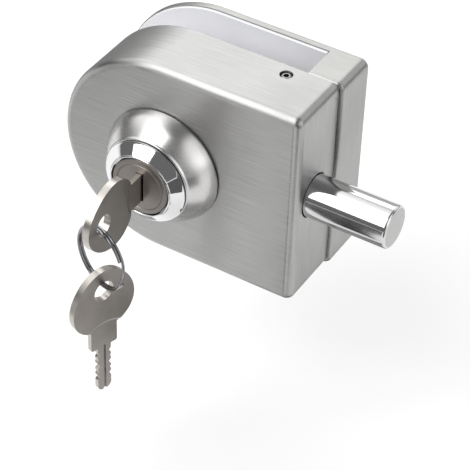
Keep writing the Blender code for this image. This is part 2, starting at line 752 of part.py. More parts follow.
def build():
    brushed = finish("brushed_steel", (0.50, 0.50, 0.49), 0.34, 1)
    polished = finish("polished_steel", (0.78, 0.78, 0.78), 0.08, 1)
    chrome = finish("chrome", (0.85, 0.85, 0.86), 0.05, 1)
    nickel = finish("nickel", (0.50, 0.49, 0.47), 0.22, 1)
    brass = finish("brass", (0.72, 0.55, 0.28), 0.30, 1)
    plug_brass = finish("plug_nickel", (0.36, 0.34, 0.33), 0.30, 1)
    zinc = finish("cast_zinc", (0.42, 0.42, 0.43), 0.50, 1)
    dark_steel = finish("dark_steel", (0.16, 0.16, 0.17), 0.35, 1)
    pad = finish("clear_pad", (0.78, 0.78, 0.82), 0.40, 0)

    make_front_cover(brushed)
    make_rear_housing(brushed)
    make_lock_body(zinc)
    make_pad("front_glass_pad", -pad_thickness, 0, pad)
    make_pad("rear_glass_pad", glass_thickness, glass_thickness + pad_thickness, pad)
    make_collar(polished)
    make_cylinder_shell(chrome)
    make_cylinder_nut(brass)
    make_plug(plug_brass)
    for i in range(wafer_count):
        make_wafer(i, brass)
    groove_radius = plug_radius - clip_groove_depth
    make_clip("plug_clip", groove_radius + running_gap, groove_radius + clip_width, clip_front_y, clip_back_y,
              clip_mouth, dark_steel)
    tail_clip_y = pinion_back_y + clearance
    make_clip("pinion_clip", journal_radius - clearance + running_gap / 2,
              journal_radius - clearance + tail_clip_width, tail_clip_y, tail_clip_y + tail_clip_thickness,
              clip_mouth, dark_steel)
    make_pinion(dark_steel)
    make_rack(dark_steel)
    make_bolt(chrome)
    rod("rack_pin", rack_pin_radius, bolt_axis_y - rack_pin_length / 2, bolt_axis_y + rack_pin_length / 2, "Y",
        (rack_pin_x, 0, bolt_height), 24, group=parts, mat=dark_steel)
    make_bushing(brass)
    make_clamp_screw("upper_clamp_screw", clamp_screw_z, dark_steel)
    make_clamp_screw("lower_clamp_screw", -clamp_screw_z, dark_steel)
    make_cover_screw("upper_cover_screw", 1, dark_steel)
    make_cover_screw("lower_cover_screw", -1, dark_steel)
    make_key("key_1", (0, key_one_hole_y, 0), (0, pi / 2, 0), nickel)
    make_key("key_2", (0, key_one_hole_y, key_two_hole_z), (-pi / 2, 0, pi / 2 + ring_heading), nickel)
    make_key_ring(polished)


build()
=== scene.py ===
from math import cos, pi, radians, sin, sqrt

import bmesh
import bpy
from mathutils import Matrix, Vector


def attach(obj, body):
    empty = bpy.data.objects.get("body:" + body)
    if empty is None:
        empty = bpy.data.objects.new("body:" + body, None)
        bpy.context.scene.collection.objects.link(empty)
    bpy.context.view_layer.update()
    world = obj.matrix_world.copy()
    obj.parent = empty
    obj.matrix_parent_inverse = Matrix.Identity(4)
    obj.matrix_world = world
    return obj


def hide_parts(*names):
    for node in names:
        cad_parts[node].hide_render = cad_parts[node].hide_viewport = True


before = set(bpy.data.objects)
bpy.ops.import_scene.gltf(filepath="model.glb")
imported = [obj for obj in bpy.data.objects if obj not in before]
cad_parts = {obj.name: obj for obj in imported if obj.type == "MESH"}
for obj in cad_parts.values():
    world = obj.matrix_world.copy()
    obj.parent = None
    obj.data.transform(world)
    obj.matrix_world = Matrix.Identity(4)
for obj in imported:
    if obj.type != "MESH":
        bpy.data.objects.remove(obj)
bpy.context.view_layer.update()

print("frame loaded:", len(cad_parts), "nodes")

mm = 0.001
small = 1e-6  # closer than this, two vertices are one
near = 1e-5  # how far a vertex may be from a plane and still count as on it
arcCentre, arcRadius = -2.0, 30.0  # the half-round outline that both halves share, in mm
flatFrom = 0.75  # a normal turned this far towards an axis counts as facing along it


def hexColour(text):
    # sRGB hex to the linear values that the shaders take
    parts = [int(text[i:i + 2], 16) / 255 for i in (1, 3, 5)]
    return tuple(c / 12.92 if c <= 0.04045 else ((c + 0.055) / 1.055) ** 2.4 for c in parts) + (1.0,)


def newMaterial(name):
    made = bpy.data.materials.new(name)
    made.use_nodes = True
    return made, made.node_tree, made.node_tree.nodes["Principled BSDF"]


def addNode(tree, kind, inputs=None, settings=None, **values):
    # an input takes either another node's socket or a plain value
    node = tree.nodes.new(kind)
    for key, value in (settings or {}).items():
        setattr(node, key, value)
    for key, value in values.items():
        node.inputs[key.replace("_", " ")].default_value = value
    for key, given in (inputs or {}).items():
        if isinstance(given, bpy.types.NodeSocket):
            tree.links.new(given, node.inputs[key])
        else:
            node.inputs[key].default_value = given
    return node


def setRamp(node, stops):
    ramp = node.color_ramp
    while len(ramp.elements) > 1:
        ramp.elements.remove(ramp.elements[0])
    ramp.elements[0].position, ramp.elements[0].color = stops[0]
    for place, colour in stops[1:]:
        ramp.elements.new(place).color = colour


def toned(colour, factor):
    return tuple(min(1, c * factor) for c in colour[:3]) + (1.0,)


def deselectAll():
    if bpy.context.object and bpy.context.object.mode == "EDIT":
        bpy.ops.object.mode_set(mode="OBJECT")
    bpy.ops.object.select_all(action="DESELECT")


def onlySelect(piece):
    deselectAll()
    piece.select_set(True)
    bpy.context.view_layer.objects.active = piece


def openEdit(piece, mode="VERT"):
    onlySelect(piece)
    bpy.ops.object.mode_set(mode="EDIT")
    bpy.ops.mesh.select_mode(type=mode)


def closeEdit():
    bpy.ops.object.mode_set(mode="OBJECT")


def pick(piece, kind, test):
    # in edit mode, selects only the edges or faces that pass a test
    shape = bmesh.from_edit_mesh(piece.data)
    for group in (shape.faces, shape.edges, shape.verts):
        for part in group:
            part.select_set(False)
    for part in getattr(shape, kind):
        if test(part):
            part.select_set(True)
    bmesh.update_edit_mesh(piece.data)


def applyModifier(piece, kind, **settings):
    onlySelect(piece)
    made = piece.modifiers.new(kind.lower(), kind)
    for key, value in settings.items():
        setattr(made, key, value)
    bpy.ops.object.modifier_apply(modifier=made.name)


def cutAway(piece, *cutters):
    for cutter in cutters:
        applyModifier(piece, "BOOLEAN", operation="DIFFERENCE", solver="EXACT", object=cutter)
        bpy.data.objects.remove(cutter, do_unlink=True)


def placeHome(piece):
    # leaves the object at the origin, with its place in its mesh
    onlySelect(piece)
    bpy.ops.object.transform_apply(location=True, rotation=True, scale=True)


def firstVertex(name, point):
    # one vertex to extrude a profile or an outline from
    deselectAll()
    bpy.ops.mesh.primitive_plane_add(size=mm, location=(0, 0, 0))
    piece = bpy.context.active_object
    piece.name = name
    bpy.ops.object.mode_set(mode="EDIT")
    bpy.ops.mesh.select_mode(type="VERT")
    bpy.ops.mesh.select_all(action="SELECT")
    bpy.ops.mesh.merge(type="CENTER")
    bpy.ops.mesh.select_all(action="SELECT")
    bpy.ops.transform.translate(value=point)
    return piece


def extrudeAlong(points):
    # each point continues the selected vertex
    for before, after in zip(points, points[1:]):
        step = Vector(after) - Vector(before)
        bpy.ops.mesh.extrude_region_move(TRANSFORM_OT_translate={"value": step})


def filledOutline(name, points):
    # one flat face, left selected in edit mode
    piece = firstVertex(name, points[0])
    extrudeAlong([*points, points[0]])
    bpy.ops.mesh.select_all(action="SELECT")
    bpy.ops.mesh.remove_doubles(threshold=small)
    bpy.ops.mesh.select_all(action="SELECT")
    bpy.ops.mesh.edge_face_add()
    return piece


def slab(name, points, push):
    # an outline pushed out to a closed block
    piece = filledOutline(name, points)
    bpy.ops.mesh.extrude_region_move(TRANSFORM_OT_translate={"value": push})
    bpy.ops.mesh.select_all(action="SELECT")
    bpy.ops.mesh.normals_make_consistent(inside=False)
    closeEdit()
    return piece


def lathe(name, profile, axis, centre, steps=96):
    # turns (radius, place along the axis) pairs in mm round an axis through centre
    def spot(pair):
        r, along = pair[0] * mm, pair[1] * mm
        if axis == "Y":
            return Vector((centre[0] * mm + r, along, centre[2] * mm))
        if axis == "X":
            return Vector((along, centre[1] * mm, centre[2] * mm + r))
        return Vector((centre[0] * mm + r, centre[1] * mm, along))
    points = [spot(pair) for pair in profile]
    piece = firstVertex(name, points[0])
    extrudeAlong(points)
    bpy.ops.mesh.select_all(action="SELECT")
    turnAxis = {"X": (1, 0, 0), "Y": (0, 1, 0), "Z": (0, 0, 1)}[axis]
    middle = [centre[0] * mm, centre[1] * mm, centre[2] * mm]
    bpy.ops.mesh.spin(steps=steps, angle=2 * pi, center=middle, axis=turnAxis)
    bpy.ops.mesh.select_all(action="SELECT")
    bpy.ops.mesh.remove_doubles(threshold=small)
    bpy.ops.mesh.dissolve_degenerate(threshold=small)
    bpy.ops.mesh.select_all(action="SELECT")
    bpy.ops.mesh.normals_make_consistent(inside=False)
    closeEdit()
    return piece


def rodCutter(name, radius, start, end, axis, centre, sides=64):
    deselectAll()
    turn = {"X": (0, pi / 2, 0), "Y": (pi / 2, 0, 0), "Z": (0, 0, 0)}[axis]
    at = list(centre)
    at["XYZ".index(axis)] = (start + end) / 2
    bpy.ops.mesh.primitive_cylinder_add(vertices=sides, radius=radius * mm, depth=abs(end - start) * mm,
                                        location=[v * mm for v in at], rotation=turn)
    cutter = bpy.context.active_object
    cutter.name = name
    return cutter


def boxCutter(name, low, high):
    deselectAll()
    bpy.ops.mesh.primitive_cube_add(size=1, location=[(a + b) / 2 * mm for a, b in zip(low, high)])
    cutter = bpy.context.active_object
    cutter.name = name
    cutter.scale = [(b - a) * mm for a, b in zip(low, high)]
    bpy.ops.object.transform_apply(location=False, rotation=False, scale=True)
    return cutter


def softenEdges(piece, width, limit=50):
    applyModifier(piece, "BEVEL", width=width * mm, segments=2, limit_method="ANGLE",
                  angle_limit=radians(limit), use_clamp_overlap=True, loop_slide=False)


def finishPiece(piece, body, node, material, smoothAngle=32, weighted=True):
    placeHome(piece)
    bpy.ops.object.shade_smooth_by_angle(angle=radians(smoothAngle), keep_sharp_edges=False)
    if weighted:
        applyModifier(piece, "WEIGHTED_NORMAL", keep_sharp=True, weight=60)
    piece.data.materials.clear()
    piece.data.materials.append(material)
    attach(piece, body)
    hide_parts(node)
    deselectAll()


def roundTheRim(tree, place, normal):
    # a coordinate that runs along X on the flat faces, and round the rim on the arc and the square end
    spot = addNode(tree, "ShaderNodeSeparateXYZ", {"Vector": place})
    tilt = addNode(tree, "ShaderNodeSeparateXYZ", {"Vector": normal})
    height = addNode(tree, "ShaderNodeMath", {0: spot.outputs["Z"]}, {"operation": "ABSOLUTE"})
    leftOf = addNode(tree, "ShaderNodeMath", {0: arcCentre * mm, 1: spot.outputs["X"]},
                     {"operation": "SUBTRACT"})
    turn = addNode(tree, "ShaderNodeMath", {0: leftOf.outputs["Value"], 1: height.outputs["Value"]},
                   {"operation": "ARCTAN2"})
    alongArc = addNode(tree, "ShaderNodeMath", {0: turn.outputs["Value"], 1: -arcRadius * mm,
                                                2: arcCentre * mm}, {"operation": "MULTIPLY_ADD"})
    faceOn = addNode(tree, "ShaderNodeMath", {0: tilt.outputs["Y"]}, {"operation": "ABSOLUTE"})
    rim = addNode(tree, "ShaderNodeMath", {0: faceOn.outputs["Value"], 1: flatFrom},
                  {"operation": "LESS_THAN"})
    left = addNode(tree, "ShaderNodeMath", {0: leftOf.outputs["Value"], 1: 0.0},
                   {"operation": "GREATER_THAN"})
    onArc = addNode(tree, "ShaderNodeMath", {0: rim.outputs["Value"], 1: left.outputs["Value"]},
                    {"operation": "MULTIPLY"})
    onEnd = addNode(tree, "ShaderNodeMath", {0: tilt.outputs["X"], 1: flatFrom},
                    {"operation": "GREATER_THAN"})
    run = addNode(tree, "ShaderNodeMix", {"Factor": onArc.outputs["Value"], "A": spot.outputs["X"],
                                          "B": alongArc.outputs["Value"]})
    run = addNode(tree, "ShaderNodeMix", {"Factor": onEnd.outputs["Value"], "A": run.outputs["Result"],
                                          "B": spot.outputs["Z"]})
    rise = addNode(tree, "ShaderNodeMix", {"Factor": rim.outputs["Value"], "A": spot.outputs["Z"]})
    made = addNode(tree, "ShaderNodeCombineXYZ", {"X": run.outputs["Result"], "Y": spot.outputs["Y"],
                                                  "Z": rise.outputs["Result"]})
    return made.outputs["Vector"], rim.outputs["Value"]


def brushedStainless(name, tone):
    # stainless sheet, belt brushed along X and round the rim: fine scratches smear what it reflects
    made, tree, shader = newMaterial(name)
    shader.inputs["Metallic"].default_value = 1.0
    shader.inputs["Anisotropic"].default_value = 0.7
    place = addNode(tree, "ShaderNodeTexCoord")
    facing = addNode(tree, "ShaderNodeNewGeometry")
    along, onRim = roundTheRim(tree, place.outputs["Object"], facing.outputs["Normal"])
    # scratches about 0.25 mm apart and 15 mm long; real ones are finer, drawn so that they show
    stretch = addNode(tree, "ShaderNodeMapping", {"Vector": along}, Scale=(0.9, 60, 60))
    scratch = addNode(tree, "ShaderNodeTexNoise", {"Vector": stretch.outputs["Vector"]},
                      Scale=70.0, Detail=3.0, Roughness=0.6)
    wide = addNode(tree, "ShaderNodeTexNoise", {"Vector": place.outputs["Object"]},
                   Scale=55.0, Detail=2.0, Roughness=0.5)  # 2 cm clouds, where the belt pressed harder
    shade = addNode(tree, "ShaderNodeValToRGB", {"Fac": scratch.outputs["Fac"]})
    base = hexColour(tone)
    setRamp(shade, [(0.30, toned(base, 0.82)), (0.70, toned(base, 1.15))])
    tree.links.new(shade.outputs["Color"], shader.inputs["Base Color"])
    both = addNode(tree, "ShaderNodeMath", {0: scratch.outputs["Fac"], 1: wide.outputs["Fac"]},
                   {"operation": "ADD"})
    rough = addNode(tree, "ShaderNodeMapRange", {"Value": both.outputs["Value"]},
                    From_Min=0.7, From_Max=1.3, To_Min=0.30, To_Max=0.42)
    tree.links.new(rough.outputs["Result"], shader.inputs["Roughness"])
    bump = addNode(tree, "ShaderNodeBump", {"Height": scratch.outputs["Fac"]}, Strength=0.22,
                   Distance=0.06 * mm)
    tree.links.new(bump.outputs["Normal"], shader.inputs["Normal"])
    # the smear runs along Y on the rim and along Z on the faces
    onFace = addNode(tree, "ShaderNodeMath", {0: 1.0, 1: onRim}, {"operation": "SUBTRACT"})
    smear = addNode(tree, "ShaderNodeCombineXYZ", {"Y": onRim, "Z": onFace.outputs["Value"]})
    tree.links.new(smear.outputs["Vector"], shader.inputs["Tangent"])
    return made


def mirrorMetal(name, tone, roughness, smudge=0.05):
    # polished or plated metal: near-mirror, with faint wipe marks in the gloss
    made, tree, shader = newMaterial(name)
    shader.inputs["Metallic"].default_value = 1.0
    shader.inputs["Base Color"].default_value = hexColour(tone)
    place = addNode(tree, "ShaderNodeTexCoord")
    cloud = addNode(tree, "ShaderNodeTexNoise", {"Vector": place.outputs["Object"]},
                    Scale=160.0, Detail=3.0, Roughness=0.55)  # marks about 6 mm across
    rough = addNode(tree, "ShaderNodeMapRange", {"Value": cloud.outputs["Fac"]},
                    From_Min=0.35, From_Max=0.7, To_Min=roughness, To_Max=roughness + smudge)
    tree.links.new(rough.outputs["Result"], shader.inputs["Roughness"])
    return made


def nickelPlate(name, tone, roughness, turnedFace=0.0):
    # nickel over brass: satin, a little uneven from tumbling, with a fanned highlight where it is turned
    made, tree, shader = newMaterial(name)
    shader.inputs["Metallic"].default_value = 1.0
    place = addNode(tree, "ShaderNodeTexCoord")
    cloud = addNode(tree, "ShaderNodeTexNoise", {"Vector": place.outputs["Object"]},
                    Scale=220.0, Detail=4.0, Roughness=0.6)  # 5 mm patches of duller plate
    fine = addNode(tree, "ShaderNodeTexNoise", {"Vector": place.outputs["Object"]},
                   Scale=2400.0, Detail=2.0)  # tumbling texture, drawn as coarse as 0.4 mm
    shade = addNode(tree, "ShaderNodeValToRGB", {"Fac": cloud.outputs["Fac"]})
    base = hexColour(tone)
    setRamp(shade, [(0.3, toned(base, 0.93)), (0.7, toned(base, 1.05))])
    tree.links.new(shade.outputs["Color"], shader.inputs["Base Color"])
    rough = addNode(tree, "ShaderNodeMapRange", {"Value": cloud.outputs["Fac"]},
                    From_Min=0.3, From_Max=0.7, To_Min=roughness, To_Max=roughness + 0.06)
    if turnedFace:
        shader.inputs["Anisotropic"].default_value = turnedFace
        around = addNode(tree, "ShaderNodeTangent", None, {"direction_type": "RADIAL", "axis": "Y"})
        tree.links.new(around.outputs["Tangent"], shader.inputs["Tangent"])
    tree.links.new(rough.outputs["Result"], shader.inputs["Roughness"])
    bump = addNode(tree, "ShaderNodeBump", {"Height": fine.outputs["Fac"]}, Strength=0.15, Distance=0.03 * mm)
    tree.links.new(bump.outputs["Normal"], shader.inputs["Normal"])
    return made


def turnedBrass(name, tone):
    # free-cutting brass as it leaves the lathe: fine rings and a warm satin
    made, tree, shader = newMaterial(name)
    shader.inputs["Metallic"].default_value = 1.0
    shader.inputs["Base Color"].default_value = hexColour(tone)
    place = addNode(tree, "ShaderNodeTexCoord")
    rings = addNode(tree, "ShaderNodeTexWave", {"Vector": place.outputs["Object"]},
                    {"bands_direction": "Y"}, Scale=900.0, Distortion=0.6, Detail=1.0)  # a feed of 0.35 mm
    rough = addNode(tree, "ShaderNodeMapRange", {"Value": rings.outputs["Fac"]}, To_Min=0.24, To_Max=0.36)
    tree.links.new(rough.outputs["Result"], shader.inputs["Roughness"])
    return made


def dieCast(name, tone):
    # die-cast alloy straight from the mould: matt, pebbled and slightly patchy
    made, tree, shader = newMaterial(name)
    shader.inputs["Metallic"].default_value = 0.9
    place = addNode(tree, "ShaderNodeTexCoord")
    cloud = addNode(tree, "ShaderNodeTexNoise", {"Vector": place.outputs["Object"]},
                    Scale=120.0, Detail=4.0)  # 8 mm patches
    pebble = addNode(tree, "ShaderNodeTexNoise", {"Vector": place.outputs["Object"]},
                     Scale=1800.0, Detail=2.0)  # 0.5 mm pebbles
    base = hexColour(tone)
    shade = addNode(tree, "ShaderNodeValToRGB", {"Fac": cloud.outputs["Fac"]})
    setRamp(shade, [(0.3, toned(base, 0.8)), (0.7, base)])
    tree.links.new(shade.outputs["Color"], shader.inputs["Base Color"])
    shader.inputs["Roughness"].default_value = 0.55
    bump = addNode(tree, "ShaderNodeBump", {"Height": pebble.outputs["Fac"]}, Strength=0.3,
                   Distance=0.05 * mm)
    tree.links.new(bump.outputs["Normal"], shader.inputs["Normal"])
    return made


def blackOxide(name, tone):
    # hardened steel with an oiled black finish
    made, tree, shader = newMaterial(name)
    shader.inputs["Metallic"].default_value = 1.0
    place = addNode(tree, "ShaderNodeTexCoord")
    cloud = addNode(tree, "ShaderNodeTexNoise", {"Vector": place.outputs["Object"]},
                    Scale=500.0, Detail=3.0)  # 2 mm blotches of oil
    base = hexColour(tone)
    shade = addNode(tree, "ShaderNodeValToRGB", {"Fac": cloud.outputs["Fac"]})
    setRamp(shade, [(0.35, toned(base, 0.7)), (0.7, base)])
    tree.links.new(shade.outputs["Color"], shader.inputs["Base Color"])
    rough = addNode(tree, "ShaderNodeMapRange", {"Value": cloud.outputs["Fac"]}, To_Min=0.28, To_Max=0.48)
    tree.links.new(rough.outputs["Result"], shader.inputs["Roughness"])
    return made


def paleRubber(name, tone):
    # soft pale grip pad: matt, faintly milky, with a fine moulded grain
    made, tree, shader = newMaterial(name)
    place = addNode(tree, "ShaderNodeTexCoord")
    grain = addNode(tree, "ShaderNodeTexNoise", {"Vector": place.outputs["Object"]},
                    Scale=1500.0, Detail=2.0)  # 0.7 mm grain
    cloud = addNode(tree, "ShaderNodeTexNoise", {"Vector": place.outputs["Object"]},
                    Scale=60.0, Detail=2.0)  # 17 mm milky patches
    base = hexColour(tone)
    shade = addNode(tree, "ShaderNodeValToRGB", {"Fac": cloud.outputs["Fac"]})
    setRamp(shade, [(0.3, toned(base, 0.95)), (0.7, base)])
    tree.links.new(shade.outputs["Color"], shader.inputs["Base Color"])
    shader.inputs["Roughness"].default_value = 0.5
    shader.inputs["Subsurface Weight"].default_value = 0.15
    shader.inputs["Subsurface Radius"].default_value = (1.0 * mm, 1.0 * mm, 1.2 * mm)
    bump = addNode(tree, "ShaderNodeBump", {"Height": grain.outputs["Fac"]}, Strength=0.2, Distance=0.04 * mm)
    tree.links.new(bump.outputs["Normal"], shader.inputs["Normal"])
    return made


coverSteel = brushedStainless("brushed stainless sheet", "#ADADAC")
rearSteel = brushedStainless("brushed stainless rear", "#AAAAA8")
collarSteel = mirrorMetal("polished stainless collar", "#D0CFCE", 0.24)
bezelChrome = mirrorMetal("bright chrome bezel", "#E2E1E2", 0.04, 0.03)
boltChrome = mirrorMetal("chromed bolt", "#D6D5D6", 0.08)
# the bolt's end face: its higher roughness is a satin facing, its darker tone is painted shade
boltEndSatinShaded = mirrorMetal("satin bolt end with painted shade", "#B2B2B1", 0.26)
ringWire = mirrorMetal("bright ring wire", "#929295", 0.14)
keyNickel = nickelPlate("nickel plated key", "#9A9590", 0.33)
# the key's edge faces: a lighter tone that is a painted highlight, and a little less rough
keyEdgeHighlight = nickelPlate("key edges with painted highlight", "#BDB8B2", 0.26)
plugNickel = nickelPlate("darkened nickel plug", "#8C8783", 0.30, 0.75)
wornBrass = turnedBrass("turned brass", "#C9A765")
bodyAlloy = dieCast("die-cast body alloy", "#9C9C9E")
screwSteel = blackOxide("black oxide steel", "#6A6A6C")
boltScrewSteel = blackOxide("zinc plated grub screw", "#A9A9AA")
padRubber = paleRubber("pale grip rubber", "#F7F7FA")
print("finishes made")


coverPlan = {
    "radius": arcRadius, "side": 40.0, "front": -20.0, "back": -0.5, "wall": 1.5, "corner": 2.5,
    "frontRound": 2.4, "frontSteps": 8, "edgeRound": 0.18,
    "bolt": (-10.6, 1.0, 6.3), "cylinderHole": 8.8, "screwX": 26.5, "screwY": -4.2, "screwHole": 1.8,
    "drill": 4.0,  # how far each drill passes the sheet's outer face, both ways
}


def halfRoundBlock(name, plan):
    # the half disc from a cylinder, its cut side pulled out to the square end
    front, back, side = plan["front"], plan["back"], plan["side"]
    deselectAll()
    bpy.ops.mesh.primitive_cylinder_add(vertices=160, radius=plan["radius"] * mm,
                                        depth=(back - front) * mm, rotation=(pi / 2, 0, 0),
                                        location=(arcCentre * mm, (front + back) / 2 * mm, 0))
    piece = bpy.context.active_object
    piece.name = name
    placeHome(piece)
    openEdit(piece)
    bpy.ops.mesh.select_all(action="SELECT")
    cutX = arcCentre * mm
    bpy.ops.mesh.bisect(plane_co=(cutX, 0, 0), plane_no=(1, 0, 0), clear_outer=True, use_fill=True)
    bpy.ops.mesh.select_mode(type="FACE")
    pick(piece, "faces", lambda f: f.normal.x > 0.9 and abs(f.calc_center_median().x - cutX) < near)
    bpy.ops.mesh.extrude_region_move(TRANSFORM_OT_translate={"value": (side * mm - cutX, 0, 0)})
    bpy.ops.mesh.select_mode(type="EDGE")
    # the seams left between the half disc and its end
    pick(piece, "edges", lambda e: all(abs(v.co.x - cutX) < near for v in e.verts)
         and len(e.link_faces) == 2 and e.calc_face_angle() < 0.05)
    bpy.ops.mesh.dissolve_edges(use_verts=False)
    # the two corners of the square end; a sheet thinner than 1 mm keeps them square
    pick(piece, "edges", lambda e: all(abs(v.co.x - side * mm) < near for v in e.verts)
         and abs(e.verts[0].co.y - e.verts[1].co.y) > mm)
    bpy.ops.mesh.bevel(offset=plan["corner"] * mm, segments=8, affect="EDGES")
    closeEdit()
    return piece


def roundRim(piece, place, amount, segments):
    # rounds the outline's edges that lie in the plane y = place
    openEdit(piece, "EDGE")
    pick(piece, "edges", lambda e: all(abs(v.co.y - place * mm) < near for v in e.verts)
         and len(e.link_faces) == 2 and e.calc_face_angle() > 0.7)
    bpy.ops.mesh.bevel(offset=amount * mm, segments=segments, affect="EDGES")
    closeEdit()


def makeCover():
    plan = coverPlan
    cover = halfRoundBlock("coverShell", plan)
    roundRim(cover, plan["front"], plan["frontRound"], plan["frontSteps"])
    openEdit(cover, "FACE")
    pick(cover, "faces", lambda f: all(abs(v.co.y - plan["back"] * mm) < near for v in f.verts))
    bpy.ops.mesh.delete(type="FACE")
    closeEdit()
    applyModifier(cover, "SOLIDIFY", thickness=plan["wall"] * mm, offset=-1.0, use_even_offset=True)
    y, z, r = plan["bolt"]
    drill, front, side = plan["drill"], plan["front"], plan["side"]
    holes = [
        rodCutter("cylinderHole", plan["cylinderHole"], front - drill, front + drill, "Y", (0, 0, 0), 96),
        rodCutter("boltHole", r, side - drill, side + drill, "X", (0, y, z), 80),
    ]
    for wall in (arcRadius, -arcRadius):
        holes.append(rodCutter("screwHole", plan["screwHole"], wall - drill, wall + drill, "Z",
                               (plan["screwX"], plan["screwY"], 0)))
    cutAway(cover, *holes)
    softenEdges(cover, plan["edgeRound"])
    finishPiece(cover, "housing", "front_cover", coverSteel)


makeCover()
print("front cover made")


rearPlan = {
    "radius": arcRadius, "side": 41.2, "front": -0.4, "back": 13.4, "corner": 2.5,
    "backRound": 0.9, "backSteps": 5, "frontRound": 0.7, "frontSteps": 4, "edgeRound": 0.2,
    "webLeft": 30.6, "plateFront": 11.0, "screwX": 34.4, "screwZ": 20.0, "screwHole": 2.3, "screwDepth": 9.3,
}


def makeRear():
    plan = rearPlan
    rear = halfRoundBlock("rearShell", plan)
    roundRim(rear, plan["back"], plan["backRound"], plan["backSteps"])
    roundRim(rear, plan["front"], plan["frontRound"], plan["frontSteps"])
    outside = 2 * arcRadius
    cutters = [boxCutter("glassSlot", (-outside, -outside, -outside),
                         (plan["webLeft"], plan["plateFront"], outside))]
    for z in (plan["screwZ"], -plan["screwZ"]):
        cutters.append(rodCutter("webHole", plan["screwHole"], plan["front"] - 2, plan["screwDepth"], "Y",
                                 (plan["screwX"], 0, z), 40))
    cutAway(rear, *cutters)
    softenEdges(rear, plan["edgeRound"])
    finishPiece(rear, "housing", "rear_housing", rearSteel)


makeRear()
print("rear housing made")


padPlan = {
    "radius": 29.65, "side": 30.3, "front": 10.0, "back": 10.98, "corner": 0.4, "edgeRound": 0.12,
}


def makeRearPad():
    # the pad lies flat on the rear half, almost out to its rim
    plan = padPlan
    pad = halfRoundBlock("rearPadSheet", plan)
    softenEdges(pad, plan["edgeRound"])
    finishPiece(pad, "housing", "rear_glass_pad", padRubber)


makeRearPad()
print("rear pad made")


collarPlan = {
    "front": -28.3, "back": -20.3, "rim": 12.6, "base": 16.9, "bulge": 0.6, "lip": 0.5, "bore": 8.8,
    "foot": 0.15, "steps": 22,
}


def makeCollar():
    plan = collarPlan
    tall = plan["back"] - plan["front"] - 2 * plan["lip"]
    profile = [(plan["bore"], plan["back"]), (plan["bore"], plan["front"])]
    for turn in (90, 60, 30):  # small rolled lip at the front rim
        profile.append((plan["rim"] - plan["lip"] + plan["lip"] * cos(radians(turn)),
                        plan["front"] + plan["lip"] - plan["lip"] * sin(radians(turn))))
    for i in range(plan["steps"] + 1):
        share = i / plan["steps"]
        swell = plan["bulge"] * sin(pi * share)
        profile.append((plan["rim"] + (plan["base"] - plan["rim"]) * share + swell,
                        plan["front"] + plan["lip"] + tall * share))
    profile += [(plan["base"], plan["back"] - plan["foot"]), (plan["base"] - plan["foot"], plan["back"])]
    profile.append(profile[0])
    collar = lathe("collarBell", profile, "Y", (0, 0, 0), 128)
    finishPiece(collar, "housing", "cylinder_collar", collarSteel, 40)


bezelPlan = {
    "front": -31.6, "coneBack": -29.4, "back": -28.6, "face": 8.8, "outer": 12.2, "outerFront": 11.7,
    "bodyRadius": 8.5, "bodyBack": -16.9, "bore": 6.6, "headFloor": -29.1, "edge": 0.1, "skirt": 0.3,
    # the rolled inner lip: out from the face's radius, back from the front
    "lip": ((0, 0.14), (0.06, 0.04), (0.18, 0), (0.32, 0.03), (0.42, 0.12), (0.46, 0.30), (0.62, 0.32)),
}


def makeBezel():
    plan = bezelPlan
    profile = [(plan["face"], plan["headFloor"])]
    profile += [(plan["face"] + out, plan["front"] + back) for out, back in plan["lip"]]
    profile += [
        (plan["outerFront"], plan["coneBack"]), (plan["outer"], plan["coneBack"] + plan["skirt"]),
        (plan["outer"], plan["back"] - plan["edge"]), (plan["outer"] - plan["edge"], plan["back"]),
        (plan["bodyRadius"], plan["back"]), (plan["bodyRadius"], plan["bodyBack"]),
        (plan["bore"], plan["bodyBack"]), (plan["bore"], plan["headFloor"]),
        (plan["face"], plan["headFloor"]),
    ]
    bezel = lathe("bezelShell", profile, "Y", (0, 0, 0), 128)
    finishPiece(bezel, "housing", "cylinder_shell", bezelChrome, 25)


plugPlan = {
    "keywayHalf": 1.12, "bladeHalf": 2.4, "mouthHalf": 4.42, "mouthBack": -29.4, "keywayBack": -13.6,
    "waferHalf": 2.8, "waferReach": 7.6, "waferThick": 1.3, "firstWafer": -27.2, "waferPitch": 2.1,
    "waferCount": 5, "infront": -33.0,  # where the keyway's cutters begin, in front of the face
    "tailFlat": 1.7, "tailRadius": 3.3, "tailFront": -12.8, "tailBack": -8.7,
    # radius and place: the face with its fine ring, the barrel, the clip's groove, the tail
    "profile": [
        (0, -31.6), (6.7, -31.6), (6.8, -31.46), (7.0, -31.46), (7.1, -31.6), (8.1, -31.6), (8.35, -31.5),
        (8.5, -31.25), (8.5, -29.4), (6.3, -29.4), (6.3, -16.75), (5.0, -16.75), (5.0, -15.75), (6.3, -15.75),
        (6.3, -15.25), (4.2, -15.25), (4.2, -12.8), (2.2, -12.8), (2.2, -8.7), (1.9, -8.7), (1.9, -8.55),
        (1.6, -8.55), (1.6, -7.65), (1.9, -7.65), (1.9, -1.3), (0, -1.3),
    ],
}


def makePlug():
    plan = plugPlan
    plug = lathe("plugBarrel", plan["profile"], "Y", (0, 0, 0))
    half, infront = plan["keywayHalf"], plan["infront"]
    cutters = []
    for tall, back in ((plan["bladeHalf"], plan["keywayBack"]), (plan["mouthHalf"], plan["mouthBack"])):
        cutters.append(boxCutter("keyway", (-half, infront, -tall), (half, back, tall)))
    wide, tall = plan["waferHalf"], plan["waferReach"]
    for i in range(plan["waferCount"]):
        front = plan["firstWafer"] + i * plan["waferPitch"] - plan["waferThick"] / 2
        cutters.append(boxCutter("waferSlot", (-wide, front, -tall),
                                 (wide, front + plan["waferThick"], tall)))
    radius = plan["tailRadius"]
    for side in (-1, 1):
        left, right = sorted((side * plan["tailFlat"], side * radius))
        cutters.append(boxCutter("tailFlat", (left, plan["tailFront"], -radius),
                                 (right, plan["tailBack"], radius)))
    cutAway(plug, *cutters)
    finishPiece(plug, "plug", "cylinder_plug", plugNickel, 25)


